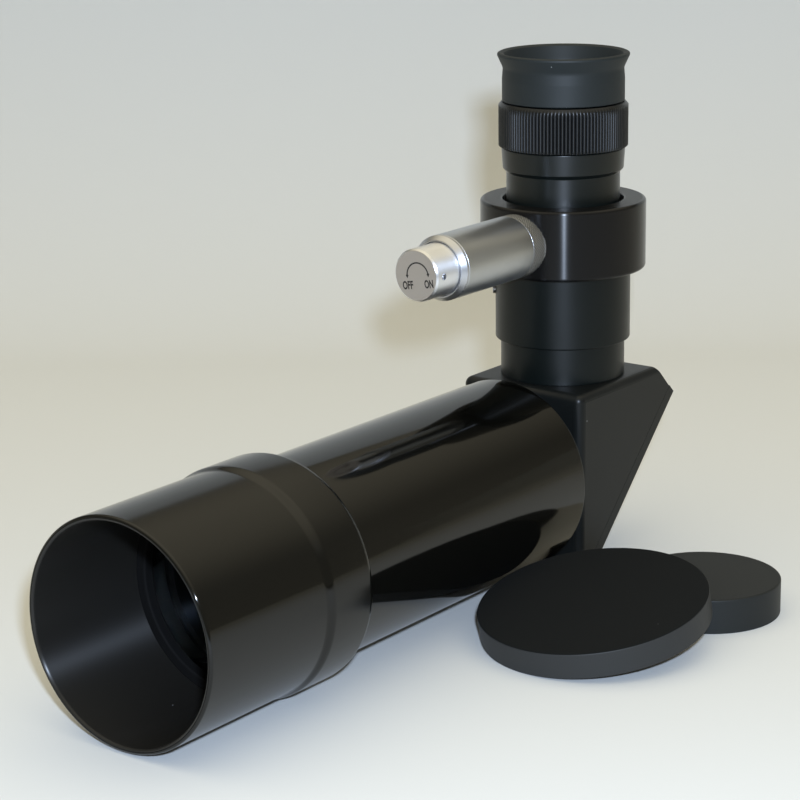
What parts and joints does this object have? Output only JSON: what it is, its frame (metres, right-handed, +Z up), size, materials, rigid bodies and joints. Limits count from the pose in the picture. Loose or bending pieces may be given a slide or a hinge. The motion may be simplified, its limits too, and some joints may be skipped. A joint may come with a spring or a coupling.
{
  "type": "right angle finder",
  "caption": "Small telescope finder with a prism that turns the view upwards, a focusing eyepiece with a lit cross-hair, and its dust caps beside it.",
  "frame": {"origin": "on the main tube's axis, in the middle of the stretch that a finder bracket grips", "axes": "+X along the tube from the objective towards the prism housing, +Z up along the eyepiece, +Y to the left when looking along +X"},
  "size_m": [0.218, 0.1126, 0.1472],
  "materials": {
    "gloss_black_paint": "gloss black paint on turned aluminium",
    "satin_black_paint": "satin black paint on cast aluminium",
    "matt_black_paint": "matt black paint on aluminium",
    "black_anodised": "satin black anodised",
    "collar_black": "glossy black anodised",
    "knurled_black": "black anodised, straight knurl",
    "satin_silver": "satin silver anodised",
    "bright_silver": "bright turned",
    "bright_nosepiece": "bright turned, satin",
    "prism_saddle": "milled, bare",
    "steel_screws": "steel, bare",
    "black_screws": "blackened steel",
    "cell_steel": "bright steel",
    "spring_steel": "spring wire",
    "coated_glass": "clear, coated",
    "clear_glass": "clear, polished",
    "prism_glass": "clear, polished",
    "cap_plastic": "matt black",
    "switch_plastic": "moulded",
    "red_lamp": "clear red resin",
    "cup_rubber": "matt soft rubber"
  },
  "bodies": {
    "finder": {"objective_cell": "gloss_black_paint", "objective_retaining_ring": "black_anodised", "objective_crown_lens": "coated_glass", "objective_flint_lens": "coated_glass", "main_tube": "gloss_black_paint", "front_glare_stop": "matt_black_paint", "rear_glare_stop": "matt_black_paint", "tube_adapter": "black_anodised", "prism_housing": "satin_black_paint", "rear_cover": "satin_black_paint", "cover_screws": "black_screws", "roof_prism": "prism_glass", "prism_saddle": "prism_saddle", "eyepiece_neck": "black_anodised", "eyepiece_sleeve": "black_anodised", "sleeve_grub_screws": "steel_screws", "objective_cap": "cap_plastic", "eyepiece_cap": "cap_plastic"},
    "eyepiece": {"nosepiece": "bright_nosepiece", "illuminator_collar": "collar_black", "reticle_ring": "black_anodised", "reticle_glass": "clear_glass", "eyepiece_barrel": "black_anodised", "ring_keeper": "black_anodised", "lamp_holder": "satin_silver", "lamp": "red_lamp", "illuminator_body": "satin_silver", "button_cells": "cell_steel", "contact_spring": "spring_steel", "switch_block": "switch_plastic", "illuminator_cap_ring": "bright_silver"},
    "switch_knob": {"switch_knob": "satin_silver", "knob_grub_screw": "steel_screws", "switch_shaft": "cell_steel"},
    "focus_ring": {"focus_ring": "knurled_black"},
    "eye_tube": {"eye_lens_tube": "black_anodised", "guide_screw": "steel_screws", "field_lens": "coated_glass", "lens_spacer": "matt_black_paint", "eye_lens": "coated_glass", "eye_lens_retainer": "black_anodised", "eyecup": "cup_rubber"}
  },
  "joints": [
    {"name": "eyepiece_swivel", "type": "hinge", "parent": "finder", "child": "eyepiece", "pos_m": [0.08, 0, 0.043], "axis": [0, 0, 1], "continuous": true},
    {"name": "focus_turn", "type": "hinge", "parent": "eyepiece", "child": "focus_ring", "pos_m": [0.08, 0, 0.0966], "axis": [0, 0, 1], "range_deg": [0, 240]},
    {"name": "eye_lens_lift", "type": "slide", "parent": "eyepiece", "child": "eye_tube", "axis": [0, 0, 1], "range_m": [0, 0.004]},
    {"name": "lamp_switch", "type": "hinge", "parent": "eyepiece", "child": "switch_knob", "pos_m": [0.015, 0, 0.065], "axis": [1, 0, 0], "range_deg": [0, 270]}
  ],
  "couplings": [
    {"joint": "eye_lens_lift", "follows": "focus_turn", "m_per_rad": 0.000954}
  ]
}
